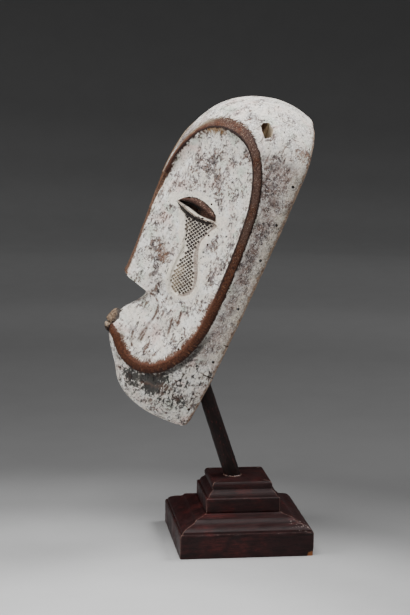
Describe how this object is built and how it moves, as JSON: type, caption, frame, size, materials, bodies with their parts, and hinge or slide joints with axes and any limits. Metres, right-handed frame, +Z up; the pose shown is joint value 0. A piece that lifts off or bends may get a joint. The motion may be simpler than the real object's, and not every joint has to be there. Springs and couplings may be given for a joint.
{
  "type": "carved face mask on a stand",
  "caption": "Hollow carved wooden face mask with a heart-shaped face, brow-and-jaw ridge, narrow slit eyes and small stub mouth, held up by a leaning rod in a moulded square plinth.",
  "frame": {"origin": "centre of the stand's underside, on the surface that it stands on", "axes": "+Z up, -Y the way the mask faces, +X towards the mask's own left side"},
  "size_m": [0.1412, 0.1796, 0.3968],
  "materials": {
    "whitened_wood": "chalky matt",
    "rod_wood": "satin",
    "stand_wood": "satin"
  },
  "bodies": {
    "root": {"mask": "whitened_wood", "rod": "rod_wood", "upper_plinth": "stand_wood", "lower_plinth": "stand_wood"}
  },
  "joints": []
}
